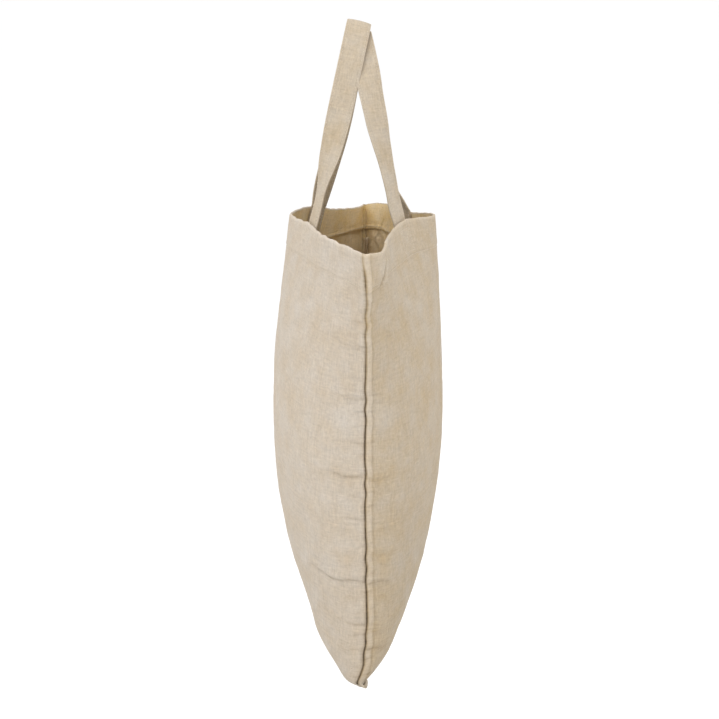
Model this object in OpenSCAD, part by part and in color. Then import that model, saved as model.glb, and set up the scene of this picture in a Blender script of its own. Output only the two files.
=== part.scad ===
// Canvas tote bag: two calico panels, turned hems, and two webbing-width
// strap handles sewn inside the mouth. Millimetres, +Z up, X across the bag,
// front panel towards -Y, origin under the apex of the handles where the bag
// hangs from a hook or a hand.

/* [Bag body] */
// Half width of the bag across its bottom corners
corner_half_w = 186; // [150:1:220]
// Half width at the belly, where the filled bag is narrowest
belly_half_w = 145; // [115:1:170]
// Half width of the mouth, seam to seam
rim_half_w = 170; // [135:1:195]
// Depth of the bag below the rim at its bottom corners
corner_depth = 431; // [330:1:500]
// Depth of the bag below the rim at the middle of the bottom
middle_depth = 400; // [310:1:460]
// Height of the belly as a share of the bag's height
belly_share = 0.453; // [0.35:0.01:0.6]
// How far the rim dips at the side seams
rim_dip = 15; // [0:1:25]

/* [Fullness] */
// Bulge of the front panel at the belly
front_bulge = 91; // [60:1:110]
// Bulge of the back panel at the belly
back_bulge = 83; // [60:1:110]
// Opening of the mouth towards the front, past the gap at the seams
front_mouth = 64.5; // [50:0.5:85]
// Opening of the mouth towards the back, past the gap at the seams
back_mouth = 65.5; // [50:0.5:85]
// Half gap that the hem's layers keep open at the seams, on the front
front_blunt = 5.5; // [4:0.5:9]
// Half gap that the hem's layers keep open at the seams, on the back
back_blunt = 8.5; // [4:0.5:10]
// Exponent that squares off the bulge low on the bag
bulge_power = 3.0; // [2:0.1:4]
// Exponent that rounds the bottom edge
bottom_power = 1.6; // [1.2:0.1:2.5]
// How quickly the bottom corners draw in to the belly
corner_power = 1.9; // [1:0.1:3]
// Roundness of the sections low on the bag
belly_round = 0.72; // [0.5:0.02:1]
// How sharply the front of the mouth draws in from its middle to the seams
front_draw = 3.6; // [1:0.1:5]
// How sharply the back of the mouth draws in from its middle to the seams
back_draw = 5.1; // [1:0.1:5]
// How far the bottom seam sits towards the front
bottom_shift = 2.4; // [0:0.1:5]

/* [Cloth] */
// Thickness of the panel cloth
cloth_t = 1.2; // [0.8:0.1:2]
// Depth of the turned hem
hem_depth = 32; // [20:1:45]
// Thickness of the turned hem layer
hem_t = 0.8; // [0.5:0.1:1.5]
// Width of the seam allowances inside the bag
allowance_w = 9; // [5:0.5:14]
// Thickness of the seam allowances
allowance_t = 1.6; // [0.8:0.1:2.4]

/* [Handles] */
// Width of the straps
strap_w = 25; // [20:1:32]
// Thickness of the straps
strap_t = 1.8; // [1.4:0.1:2.4]
// Distance from the bag's middle to the middle of a strap end
strap_x = 70; // [60:1:80]
// Height of the front handle's apex above the rim
front_rise = 192; // [185:1:230]
// Gap in height between the two handles at the apex
nest_gap = 14; // [13:0.5:17]
// Height above the bases at which the straps have turned a quarter
twist_rise = 150; // [110:1:170]

/* [Stitching] */
// Width of a row of stitches
stitch_w = 1.0; // [0.6:0.1:1.4]
// Height of a row of stitches above the cloth
stitch_t = 0.4; // [0.3:0.1:0.6]
// Distance from a strap's edge to its row of stitches
stitch_edge = 2.5; // [2:0.5:4]
// Side of the square that fastens a strap end
box_side = 20; // [14:1:22]

/* [Hidden] */

FRONT = -1;
BACK = 1;
LEFT = -1;
RIGHT = 1;

calico = [0.80, 0.74, 0.64];
strap_calico = [0.82, 0.76, 0.67];
lining_calico = [0.66, 0.57, 0.44];
thread = [0.90, 0.87, 0.80];

// Lengths over which the gap and the layers' depths grow from a side seam.
blunt_run = 3;
inset_run = 2;
// The two panels stop this far short of the seam plane.
seam_gap = 0.15;
// Gap between layers of cloth that lie on each other.
layer_gap = 0.3;
// Depth of the outer face of each layer inside the panel's outer face.
hem_inset = cloth_t + layer_gap;
end_inset = hem_inset + hem_t + layer_gap;
// The handles' underside is the origin, so the rim lies this far below it.
back_rise = front_rise - nest_gap;
rim_z = strap_t / 2 - back_rise;
// The loops start this far above the rim.
base_lift = 3;
// The straps meet this far towards the front of the middle.
apex_y = -2;
// Share of the bag's height over which the bottom seam's shift fades.
shift_share = 0.15;
// The side allowances run between these heights, clear of the bottom's, and
// stop this far short of the seam.
seam_from = 0.12;
seam_to = 0.995;
seam_clear = 3;
panel_steps = 32;
rise_steps = 28;
strap_steps = 48;
row_steps = 40;

// Height share, half width, bulge and roundness of the section at v, where
// v is 0 at the bottom seam, 0.5 at the belly and 1 at the rim.
function low_angle(v) = 90 * min(1, v / 0.5);
function upper(v) = max(0, v / 0.5 - 1);
function share(v) = v < 0.5
    ? belly_share * (1 - pow(cos(low_angle(v)), 2 / bottom_power))
    : belly_share + (1 - belly_share) * upper(v);
function half_width(v) = v < 0.5
    ? belly_half_w + (corner_half_w - belly_half_w)
        * pow(max(0, 1 - share(v) / belly_share), corner_power)
    : belly_half_w + (rim_half_w - belly_half_w) * pow(upper(v), 2);
function belly_bulge(side) = side == FRONT ? front_bulge : back_bulge;
function mouth(side) = side == FRONT ? front_mouth : back_mouth;
function bulge(side, v) = v < 0.5
    ? belly_bulge(side) * pow(sin(low_angle(v)), 2 / bulge_power)
    : belly_bulge(side) - (belly_bulge(side) - mouth(side)) * pow(upper(v), 2);
function blunt(side) = side == FRONT ? front_blunt : back_blunt;
function draw(side) = side == FRONT ? front_draw : back_draw;
function roundness(side, v) = belly_round + (draw(side) - belly_round) * pow(upper(v), 2);

// A point on a panel, inset from its outer face: turn runs from -90 at the
// left seam to 90 at the right seam.
function bag_point(side, turn, v, inset) =
    let (s = sin(turn), t = share(v), open = pow(upper(v), 2),
        h = pow(abs(cos(turn)), roundness(side, v)),
        from_seam = (1 - abs(s)) * half_width(v),
        gap = open * blunt(side) * (1 - exp(-from_seam / blunt_run)),
        closed_inset = h * bulge(side, v) / belly_bulge(side),
        open_inset = 1 - exp(-from_seam / inset_run),
        depth = inset * (closed_inset * (1 - open) + open_inset * open),
        bottom = middle_depth + (corner_depth - middle_depth) * s * s - inset,
        rim = rim_dip * s * s,
        shift = bottom_shift * pow(1 - min(1, t / shift_share), 2))
    [(half_width(v) - inset) * s,
        side * (seam_gap + gap + bulge(side, v) * h - depth) - shift,
        rim_z - bottom + (bottom - rim) * t];

// The v of a line that runs a given distance below the rim.
function v_below_rim(d) = 1 - 0.5 * d / ((1 - belly_share) * middle_depth);
hem_v = v_below_rim(hem_depth);
// The turn at which the rim passes a given distance from the middle.
function rim_turn(x) = asin(x / rim_half_w);

function unit(a) = a / norm(a);

// Faces of a closed block of (nu + 1) by (nv + 1) points on two layers.
function block_faces(nu, nv) =
    let (row = nu + 1, layer = row * (nv + 1))
    concat(
        [for (j = [0:nv - 1], i = [0:nu - 1], k = [0:1])
            let (a = j * row + i)
            k == 0 ? [a, a + 1, a + row + 1] : [a, a + row + 1, a + row]],
        [for (j = [0:nv - 1], i = [0:nu - 1], k = [0:1])
            let (a = layer + j * row + i)
            k == 0 ? [a, a + row + 1, a + 1] : [a, a + row, a + row + 1]],
        [for (i = [0:nu - 1], k = [0:1])
            let (a = i)
            k == 0 ? [a, a + layer, a + layer + 1] : [a, a + layer + 1, a + 1]],
        [for (i = [0:nu - 1], k = [0:1])
            let (a = nv * row + i)
            k == 0 ? [a, a + layer + 1, a + layer] : [a, a + 1, a + layer + 1]],
        [for (j = [0:nv - 1], k = [0:1])
            let (a = j * row)
            k == 0 ? [a, a + row + layer, a + layer] : [a, a + row, a + row + layer]],
        [for (j = [0:nv - 1], k = [0:1])
            let (a = j * row + nu)
            k == 0 ? [a, a + layer, a + row + layer] : [a, a + row + layer, a + row]]);

function flipped(faces) = [for (f = faces) [f[2], f[1], f[0]]];

// A layer of cloth that follows a panel between two turns and two heights,
// with its outer face inset from the panel's and a given thickness.
module cloth(side, turns, vs, inset, t, nu, nv) {
    outer = [for (j = [0:nv], i = [0:nu])
        bag_point(side, turns[0] + (turns[1] - turns[0]) * i / nu,
            vs[0] + (vs[1] - vs[0]) * j / nv, inset)];
    inner = [for (j = [0:nv], i = [0:nu])
        bag_point(side, turns[0] + (turns[1] - turns[0]) * i / nu,
            vs[0] + (vs[1] - vs[0]) * j / nv, inset + t)];
    faces = block_faces(nu, nv);
    polyhedron(concat(outer, inner), side == FRONT ? flipped(faces) : faces, convexity = 6);
}

// A flat strip swept along centres, with a width and a thickness direction at each.
module strip(centres, widths, normals, w, t) {
    n = len(centres) - 1;
    points = [for (k = [1, -1], i = [0:n], m = [-1, 1])
        centres[i] + widths[i] * m * w / 2 + normals[i] * k * t / 2];
    faces = block_faces(1, n);
    right_handed = cross(widths[0], normals[0]) * (centres[1] - centres[0]) > 0;
    polyhedron(points, right_handed ? faces : flipped(faces), convexity = 6);
}

// A row of stitches that stands on a face through points, with its normals.
module stitch_row(points, normals) {
    n = len(points) - 1;
    along = [for (i = [0:n]) unit(points[min(n, i + 1)] - points[max(0, i - 1)])];
    across = [for (i = [0:n]) unit(cross(normals[i], along[i]))];
    lifted = [for (i = [0:n]) points[i] + normals[i] * (layer_gap + stitch_t / 2)];
    strip(lifted, across, normals, stitch_w, stitch_t);
}

// The outward normal of a panel's outer face.
function bag_normal(side, turn, v) =
    let (d = 0.5, e = 0.004,
        a = bag_point(side, turn + d, v, 0) - bag_point(side, turn - d, v, 0),
        b = bag_point(side, turn, min(1, v + e), 0) - bag_point(side, turn, v - e, 0))
    unit(cross(a, b) * -side);

module panel(side) {
    color(calico)
        cloth(side, [-90, 90], [0, 1], 0, cloth_t, panel_steps, rise_steps);
}

// The hem's columns of points lie on the panel's own, one in from each seam.
module hem(side) {
    turn = 90 * (1 - 2 / panel_steps);
    color(lining_calico)
        cloth(side, [-turn, turn], [hem_v, 1], hem_inset, hem_t, panel_steps - 2, 3);
}

// The pressed seam allowances inside a side seam, a strip that stands inwards.
module side_allowance(end) {
    vs = [for (i = [0:row_steps]) seam_from + (seam_to - seam_from) * i / row_steps];
    edge = [for (v = vs) bag_point(FRONT, 90 * end, v, cloth_t)];
    inwards = [-end, 0, 0];
    centres = [for (p = edge) p + [0, seam_gap, 0] + inwards * (allowance_w / 2 + seam_clear)];
    color(lining_calico)
        strip(centres, [for (p = edge) inwards], [for (p = edge) [0, end, 0]],
            allowance_w, allowance_t);
}

// The allowances of the bottom seam, a strip that stands upwards.
module bottom_allowance() {
    turns = [for (i = [0:row_steps]) 76 * (2 * i / row_steps - 1)];
    edge = [for (a = turns) bag_point(FRONT, a, 0, cloth_t)];
    color(lining_calico)
        strip([for (p = edge) [p[0], -bottom_shift, p[2] + allowance_w / 2 + 1]],
            [for (p = edge) [0, 0, 1]], [for (p = edge) [0, -1, 0]],
            allowance_w, allowance_t);
}

module hem_stitching(side) {
    v = v_below_rim(hem_depth - 2);
    turns = [for (i = [0:row_steps]) 85 * (2 * i / row_steps - 1)];
    color(thread)
        stitch_row([for (a = turns) bag_point(side, a, v, 0)],
            [for (a = turns) bag_normal(side, a, v)]);
}

// The middle of a strap end at the rim, and the lean of a handle's plane.
function base_point(side) =
    let (p = bag_point(side, rim_turn(strap_x), 1, end_inset + strap_t / 2))
    [0, p[1], p[2] + base_lift];
function rise(side) = (side == FRONT ? front_rise : back_rise) + rim_z - base_point(side)[2];
function lean(side) = atan(abs(base_point(side)[1] - apex_y) / rise(side));
// Slope of the rim, seen from above, where the straps leave it.
function rim_slope(side) =
    let (a = bag_point(side, rim_turn(strap_x - strap_w / 2), 1, 0),
        b = bag_point(side, rim_turn(strap_x + strap_w / 2), 1, 0))
    atan(abs(b[1] - a[1]) / (b[0] - a[0]));

// Directions of a handle's plane: up along it, and its normal towards the middle.
function plane_up(side) = [0, -side * sin(lean(side)), cos(lean(side))];
function plane_in(side) = [0, -side * cos(lean(side)), -sin(lean(side))];

// The half ellipse of a handle, from its left base at 0 to its right base at 180.
function loop_point(side, a) = base_point(side) + [-strap_x * cos(a), 0, 0]
    + plane_up(side) * rise(side) / cos(lean(side)) * sin(a);
function loop_along(side, a) = unit([strap_x * sin(a), 0, 0]
    + plane_up(side) * rise(side) / cos(lean(side)) * cos(a));
function loop_out(side, a) = unit(cross(loop_along(side, a), plane_in(side)) * side);
// The strap turns from the rim's direction at its bases to the handle plane's
// normal at its apex.
function twist(side, a) =
    let (h = min(1, rise(side) * sin(a) / twist_rise))
    rim_slope(side) + (90 - rim_slope(side)) * pow(h, 1.5);
function loop_width(side, a) = cos(twist(side, a)) * loop_out(side, a)
    + sin(twist(side, a)) * plane_in(side);
function loop_face(side, a) =
    unit(cross(loop_along(side, a), loop_width(side, a)) * side);

module handle(side) {
    turns = [for (i = [0:strap_steps]) 180 * i / strap_steps];
    color(strap_calico)
        strip([for (a = turns) loop_point(side, a)], [for (a = turns) loop_width(side, a)],
            [for (a = turns) loop_face(side, a) * -side], strap_w, strap_t);
}

// The two rows of stitches along a handle's outer face.
module handle_stitching(side) {
    turns = [for (i = [1:strap_steps - 1]) 180 * i / strap_steps];
    color(thread)
        for (edge = [-1, 1])
            stitch_row([for (a = turns) loop_point(side, a)
                    + loop_width(side, a) * edge * (strap_w / 2 - stitch_edge)
                    + loop_face(side, a) * strap_t / 2],
                [for (a = turns) loop_face(side, a)]);
}

module strap_end(side, end) {
    near = rim_turn(strap_x - strap_w / 2);
    far = rim_turn(strap_x + strap_w / 2);
    color(strap_calico)
        cloth(side, end == RIGHT ? [near, far] : [-far, -near], [hem_v, 1],
            end_inset, strap_t, 4, 4);
}

// The ends of a run of stitches, drawn in from both ends by a clear distance.
function run(from, to, clear) =
    let (way = unit(to - from))
    [from + way * clear, to - way * clear];

// A square and two diagonals of stitches through a strap end. Each run stops
// short of the others, so that no two of them touch.
module box_stitch(side, end) {
    half = box_side / 2;
    corners = [[-half, -half], [half, -half], [half, half], [-half, half]];
    runs = concat(
        [for (k = [0:3]) run(corners[k], corners[(k + 1) % 4], stitch_w)],
        [for (k = [0:3]) run([0, 0], corners[k], 2 * stitch_w)]);
    color(thread)
        for (r = runs) {
            path = [for (i = [0:4]) r[0] + (r[1] - r[0]) * i / 4];
            turns = [for (c = path) end * rim_turn(strap_x + c[0])];
            heights = [for (c = path) v_below_rim(hem_depth / 2 - c[1])];
            stitch_row([for (i = [0:4]) bag_point(side, turns[i], heights[i], 0)],
                [for (i = [0:4]) bag_normal(side, turns[i], heights[i])]);
        }
}

module front_panel() { panel(FRONT); }
module back_panel() { panel(BACK); }
module front_hem() { hem(FRONT); }
module back_hem() { hem(BACK); }
module left_side_seam() { side_allowance(LEFT); }
module right_side_seam() { side_allowance(RIGHT); }
module bottom_seam() { bottom_allowance(); }
module front_hem_stitching() { hem_stitching(FRONT); }
module back_hem_stitching() { hem_stitching(BACK); }
module front_handle() { handle(FRONT); }
module back_handle() { handle(BACK); }
module front_handle_stitching() { handle_stitching(FRONT); }
module back_handle_stitching() { handle_stitching(BACK); }
module front_left_strap_end() { strap_end(FRONT, LEFT); }
module front_right_strap_end() { strap_end(FRONT, RIGHT); }
module back_left_strap_end() { strap_end(BACK, LEFT); }
module back_right_strap_end() { strap_end(BACK, RIGHT); }
module front_left_box_stitch() { box_stitch(FRONT, LEFT); }
module front_right_box_stitch() { box_stitch(FRONT, RIGHT); }
module back_left_box_stitch() { box_stitch(BACK, LEFT); }
module back_right_box_stitch() { box_stitch(BACK, RIGHT); }

front_panel();
back_panel();
front_hem();
back_hem();
left_side_seam();
right_side_seam();
bottom_seam();
front_hem_stitching();
back_hem_stitching();
front_handle();
back_handle();
front_handle_stitching();
back_handle_stitching();
front_left_strap_end();
front_right_strap_end();
back_left_strap_end();
back_right_strap_end();
front_left_box_stitch();
front_right_box_stitch();
back_left_box_stitch();
back_right_box_stitch();
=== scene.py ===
"""Canvas tote bag: soft panels, turned hems, straps and stitches over the rigid frame.

Metres throughout, +Z up, X across the bag, the front panel towards -Y. Cloth is laid out in its
own coordinates: s runs from -1 at the left seam to 1 at the right one, q from 0 at the bottom to 1
at the rim.
"""
import math

import bpy
import numpy as np
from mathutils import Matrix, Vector


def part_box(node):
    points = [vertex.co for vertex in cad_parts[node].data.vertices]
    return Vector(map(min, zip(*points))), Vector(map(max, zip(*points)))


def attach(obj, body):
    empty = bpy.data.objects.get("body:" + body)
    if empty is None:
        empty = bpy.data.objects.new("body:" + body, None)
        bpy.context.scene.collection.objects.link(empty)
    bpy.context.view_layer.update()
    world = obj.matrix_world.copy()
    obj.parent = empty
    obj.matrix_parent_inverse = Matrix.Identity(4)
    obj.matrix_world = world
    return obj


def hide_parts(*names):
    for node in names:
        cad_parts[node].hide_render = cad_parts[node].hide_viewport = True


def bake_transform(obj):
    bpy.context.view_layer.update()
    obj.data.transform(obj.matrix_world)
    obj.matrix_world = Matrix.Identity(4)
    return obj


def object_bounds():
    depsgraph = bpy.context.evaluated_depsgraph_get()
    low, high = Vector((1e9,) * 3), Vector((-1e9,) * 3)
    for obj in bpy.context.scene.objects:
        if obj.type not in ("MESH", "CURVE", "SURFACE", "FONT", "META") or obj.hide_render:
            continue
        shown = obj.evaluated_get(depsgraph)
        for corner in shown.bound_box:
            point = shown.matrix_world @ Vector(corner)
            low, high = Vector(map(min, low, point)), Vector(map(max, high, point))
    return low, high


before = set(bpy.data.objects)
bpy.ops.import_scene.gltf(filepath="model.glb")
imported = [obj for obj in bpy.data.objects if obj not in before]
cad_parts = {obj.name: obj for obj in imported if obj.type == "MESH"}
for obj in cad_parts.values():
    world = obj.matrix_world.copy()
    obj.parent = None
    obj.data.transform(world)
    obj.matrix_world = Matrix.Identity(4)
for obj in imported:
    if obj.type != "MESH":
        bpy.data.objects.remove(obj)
CAD_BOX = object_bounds()

FRONT, BACK = -1, 1
LEFT, RIGHT = -1, 1
SIDE_NAMES = {FRONT: "front", BACK: "back"}
END_NAMES = {LEFT: "left", RIGHT: "right"}

# ---------------------------------------------------------------- sizes

PANEL_LO, PANEL_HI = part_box("front_panel")
BACK_LO, BACK_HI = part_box("back_panel")
RIM_Z = PANEL_HI[2]
CORNER_HALF_W = PANEL_HI[0]
CORNER_DEPTH = RIM_Z - PANEL_LO[2]
BULGE = {FRONT: -PANEL_LO[1], BACK: BACK_HI[1]}

# The rest of the shape, as the frame was designed.
BELLY_HALF_W = 0.145
RIM_HALF_W = 0.170
MIDDLE_DEPTH = 0.400
RIM_DIP = 0.015
BELLY_SHARE = 0.453
MOUTH = {FRONT: 0.0645, BACK: 0.0655}
BLUNT = {FRONT: 0.0055, BACK: 0.0085}
BLUNT_RUN = 0.003
DRAW = {FRONT: 3.6, BACK: 5.1}
BULGE_POWER, BOTTOM_POWER, CORNER_POWER = 3.0, 1.6, 1.9
BELLY_ROUND = 0.72
BOTTOM_SHIFT = 0.0024
SHIFT_SHARE = 0.15

# The cloth as it was cut, and its layers.
CUT_W, CUT_H = 0.384, 0.432
CLOTH_T = 0.0010
FOLD_R = 0.0008
HEM_DEPTH = 0.032
HEM_Q = 1 - HEM_DEPTH / CUT_H
HEM_LINE = 0.0295
BOUNCE_TINT_FROM = 0.12  # the q above which the inner faces have the inside's brighter, warmer copy of the calico: painted bounced light
SEAM_GAP = 0.9988  # how near to a seam, in s, a panel's mesh comes
STRAP_X = 0.070
STRAP_W, STRAP_T = 0.0243, 0.0020
STRAP_EDGE = 0.0022
END_INSET = 2 * FOLD_R + CLOTH_T / 2 + STRAP_T / 2 + 0.0003
RISE = {FRONT: 0.192, BACK: 0.1795}
APEX_Y = -0.002
THREAD_R = 0.00026

# The grid that settles, for how long, and how far a point of it may move.
ACROSS, UP = 96, 108
SETTLE_FRAMES = 20
SETTLE_CAP = 0.008


def smooth(x, lo, hi):
    """0 below lo, 1 above hi and a smooth step between."""
    t = np.clip((np.asarray(x, float) - lo) / (hi - lo), 0, 1)
    return t * t * (3 - 2 * t)


def bell(x, middle, width):
    return np.exp(-(((np.asarray(x, float) - middle) / width) ** 2))


def unit(a):
    return a / np.maximum(np.linalg.norm(a, axis=-1, keepdims=True), 1e-12)


def length_along(points):
    """How far along a line each of its points is."""
    return np.concatenate([[0], np.cumsum(np.linalg.norm(np.diff(points, axis=0), axis=1))])


def points_at(at, length, points):
    """Points of a line at some lengths along it."""
    return np.stack([np.interp(at, length, points[:, k]) for k in range(3)], -1)


def quads_of(n):
    """The four corners of each cell of a grid of point numbers."""
    return np.stack([n[:-1, :-1], n[:-1, 1:], n[1:, 1:], n[1:, :-1]], -1).reshape(-1, 4)


# ---------------------------------------------------------------- the bag's shape


def bag_surface(side, turn, v):
    """The designed outer face: turn from -90 to 90 degrees across, v from 0 to 1 up."""
    turn, v = np.broadcast_arrays(np.asarray(turn, float), np.asarray(v, float))
    low, up = v < 0.5, np.clip(v / 0.5 - 1, 0, 1)
    angle = np.clip(v / 0.5, 0, 1) * math.pi / 2
    cos_low = np.clip(np.cos(angle), 0, 1)
    share = np.where(
        low,
        BELLY_SHARE * (1 - cos_low ** (2 / BOTTOM_POWER)),
        BELLY_SHARE + (1 - BELLY_SHARE) * up,
    )
    flare = np.clip(1 - share / BELLY_SHARE, 0, 1) ** CORNER_POWER
    half_w = np.where(
        low,
        BELLY_HALF_W + (CORNER_HALF_W - BELLY_HALF_W) * flare,
        BELLY_HALF_W + (RIM_HALF_W - BELLY_HALF_W) * up**2,
    )
    bulge = np.where(
        low,
        BULGE[side] * np.sin(angle) ** (2 / BULGE_POWER),
        BULGE[side] - (BULGE[side] - MOUTH[side]) * up**2,
    )
    roundness = BELLY_ROUND + (DRAW[side] - BELLY_ROUND) * up**2
    s = np.sin(np.radians(turn))
    c = np.clip(np.cos(np.radians(turn)), 0, 1)
    bottom = MIDDLE_DEPTH + (CORNER_DEPTH - MIDDLE_DEPTH) * s * s
    gap = up**2 * BLUNT[side] * (1 - np.exp(-(1 - np.abs(s)) * half_w / BLUNT_RUN))
    shift = BOTTOM_SHIFT * np.clip(1 - share / SHIFT_SHARE, 0, 1) ** 2
    return np.stack(
        [
            half_w * s,
            side * (bulge * c**roundness + gap) - shift,
            RIM_Z - bottom + (bottom - RIM_DIP * s * s) * share,
        ],
        -1,
    )


def even_grid(side):
    """Points of a panel evenly spaced along the cloth, as an array [up, across, xyz]."""
    turns, heights = np.linspace(-90, 90, 721), np.linspace(0, 1, 721)
    spine = bag_surface(side, 0.0, heights)
    along = length_along(spine)
    levels = np.interp(np.linspace(0, along[-1], UP + 1), along, heights)
    rows = []
    for v in levels:
        row = bag_surface(side, turns, v)
        run = length_along(row)
        even = np.interp(np.linspace(0, run[-1], ACROSS + 1), run, turns)
        rows.append(bag_surface(side, even, v))
    return np.array(rows)


# The mouth as it hangs, from its middle to each seam: how far across, how far out and how much
# above the rim's middle, in millimetres. The straps pull it up and in where they are sewn. The
# places were measured against the photograph's rim and then adjusted.
HANGING_RIM = {
    (FRONT, RIGHT): (
        (0, 72, 0), (22, 66.5, -0.3), (40, 60, -0.5), (58, 53.5, 0.2), (70, 49.3, 0),
        (84, 44.7, -2.6), (102, 38.3, -5.2), (118, 29.9, -7.2), (134, 20.3, -9.3),
        (148, 11.4, -11.2), (160, 4.2, -12.7), (167, 0.9, -13.2), (170, 0, -13.3),
    ),
    (FRONT, LEFT): (
        (0, 72, 0), (14, 71.2, 0), (42, 63.9, 0), (56, 58.0, 0), (66, 51.5, -0.5),
        (76, 43.5, -2.5), (90, 34.5, -6.3), (110, 24.5, -9.0), (135, 14.5, -11.8),
        (155, 5.5, -13.3), (164, 1.2, -13.2), (170, -2, -12.4),
    ),
    (BACK, RIGHT): (
        (0, 74, 0), (12, 71.6, 0), (23, 66.8, 0.5), (37, 58.4, 1.8), (52, 49.5, 3.0),
        (64, 42.5, 3.2), (76, 36.7, 1.2), (85, 33.2, -0.8), (95, 30.2, -2.7), (113, 26.4, -5.6),
        (131, 23.2, -8.6), (148, 20.4, -11.4), (158, 17.5, -12.7), (164, 12.6, -13.2),
        (168, 5, -13.3), (170, 0, -13.3),
    ),
    (BACK, LEFT): (
        (0, 74, 0), (15, 70.5, -1), (35, 63, -3.4), (55, 55.5, -5.8), (70, 49.5, -6.6),
        (85, 44, -6.9), (105, 37.5, -7.0), (130, 30.5, -7.4), (150, 23.5, -8.6),
        (162, 14.5, -10.2), (168, 6, -11.8), (170, 2, -12.4),
    ),
}


def through(points, count):
    """Evenly spaced points of a smooth line through some points."""
    points = np.asarray(points, float)
    at = length_along(points)
    slopes = np.gradient(points, at, axis=0)
    t = np.linspace(0, at[-1], 900)
    k = np.clip(np.searchsorted(at, t) - 1, 0, len(at) - 2)
    h = (at[k + 1] - at[k])[:, None]
    x = (t[:, None] - at[k][:, None]) / h
    line = (
        (1 + 2 * x) * (1 - x) ** 2 * points[k]
        + x * (1 - x) ** 2 * h * slopes[k]
        + x * x * (3 - 2 * x) * points[k + 1]
        + x * x * (x - 1) * h * slopes[k + 1]
    )
    run = length_along(line)
    return points_at(np.linspace(0, run[-1], count), run, line)


def hang_mouth(side, grid):
    """Moves the top of a panel's grid so that its rim hangs as the mouth does."""
    halves = {}
    for end in (LEFT, RIGHT):
        x, y, z = np.array(HANGING_RIM[(side, end)]).T / 1000
        points = np.stack([end * x, side * y, RIM_Z + z], -1)
        halves[end] = through(points, ACROSS // 2 + 1)
    rim = np.concatenate([halves[LEFT][::-1], halves[RIGHT][1:]])
    s, q = np.meshgrid(np.linspace(-1, 1, ACROSS + 1), np.linspace(0, 1, UP + 1))
    low = 0.74 + 0.13 * smooth(np.abs(s), 0.78, 0.97)
    top = np.clip((q - low) / (1 - low), 0, 1) ** 1.7
    return grid + top[..., None] * (rim - grid[-1])


def settle(front, back):
    """Lets the cloth of the whole bag settle, from the cut's flat size, and returns both grids."""
    row = ACROSS + 1
    ids = {FRONT: np.arange((UP + 1) * row).reshape(UP + 1, row)}
    ids[BACK] = ids[FRONT].copy()
    ids[BACK][1:, 1:-1] = (UP + 1) * row + np.arange(UP * (row - 2)).reshape(UP, row - 2)
    count = ids[BACK].max() + 1
    shape, flat, hold = np.zeros((count, 3)), np.zeros((count, 3)), np.zeros(count)
    s, q = np.meshgrid(np.linspace(-1, 1, row), np.linspace(0, 1, UP + 1))
    for side, grid in ((BACK, back), (FRONT, front)):
        shape[ids[side]] = grid
        flat[ids[side]] = np.stack([s * CUT_W / 2, 0 * s, RIM_Z - (1 - q) * CUT_H], -1)
        hold[ids[side]] = 0.03 + 0.97 * smooth(q, 0.93, 1.0)
    corners = bell(np.abs(flat[:, 0]), CUT_W / 2, 0.02) * bell(flat[:, 2], RIM_Z - CUT_H, 0.02)
    hold = np.maximum(hold, 0.8 * corners)
    faces = []
    for side in (FRONT, BACK):
        n = ids[side]
        quads = quads_of(n)
        faces += (quads if side == FRONT else quads[:, ::-1]).tolist()
    mesh = bpy.data.meshes.new("settling")
    mesh.from_pydata(shape.tolist(), [], faces)
    piece = bpy.data.objects.new("settling", mesh)
    bpy.context.scene.collection.objects.link(piece)
    piece.shape_key_add(name="Basis")
    cut = piece.shape_key_add(name="cut")
    cut.data.foreach_set("co", flat.ravel())
    group = piece.vertex_groups.new(name="hold")
    for i, w in enumerate(hold):
        group.add([i], float(w), "REPLACE")
    cloth = piece.modifiers.new("cloth", "CLOTH")
    made = cloth.settings
    made.quality = 6
    made.mass = 0.0002
    made.tension_stiffness = made.compression_stiffness = 20
    made.shear_stiffness = 6
    made.bending_stiffness = 0.4
    made.tension_damping = made.compression_damping = made.shear_damping = 15
    made.vertex_group_mass = "hold"
    made.pin_stiffness = 0.6
    made.rest_shape_key = cut
    made.use_pressure = True
    made.uniform_pressure_force = 0.5
    made.effector_weights.gravity = 0
    cloth.collision_settings.use_collision = False
    scene = bpy.context.scene
    scene.frame_start, scene.frame_end = 1, SETTLE_FRAMES
    for step in range(1, SETTLE_FRAMES + 1):
        scene.frame_set(step)
    settled = piece.evaluated_get(bpy.context.evaluated_depsgraph_get()).to_mesh()
    found = np.empty(count * 3)
    settled.vertices.foreach_get("co", found)
    found = found.reshape(-1, 3)
    bpy.data.objects.remove(piece)
    bpy.data.meshes.remove(mesh)
    scene.frame_set(1)
    move = found - shape
    far = np.linalg.norm(move, axis=1, keepdims=True)
    print("settled: moved mean %.2f mm, most %.2f mm" % (far.mean() * 1000, far.max() * 1000))
    move *= np.minimum(1, SETTLE_CAP / np.maximum(far, 1e-9))
    return {side: (shape + move)[ids[side]] for side in (FRONT, BACK)}


# How far the side seams stray towards the back, in millimetres, at q up the cloth, with how far
# across the cloth, in s, that reaches and how much of it the left seam has.
SEAM_LINE = (
    (0, -2.5), (0.03, -5.0), (0.07, -2.5), (0.12, 2.5), (0.20, 5.0), (0.32, 4.6), (0.50, 4.0),
    (0.80, 4.0), (0.90, 4.6), (0.96, 2.6), (1.0, 0.8),
)
SEAM_SPREAD = 0.26
LEFT_SHARE = 0.6

# How far the bottom corners lie towards the back and up, and their fullness, as (size, reach).
CORNER_BACK, CORNER_UP = (0.0080, 0.015), (0.0028, 0.020)
CORNER_FULL = {FRONT: (0.0075, 0.013, 0.011), BACK: (0.0030, 0.013, 0.010)}

# The small waves of the rim: the near half of the front panel has the largest.
NEAR_RIPPLE, RIPPLE = 0.00042, 0.00018

# How far the bottom corners stand out of their points.
CORNER_LIFT = {FRONT: 0.0035, BACK: 0.0052}


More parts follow.
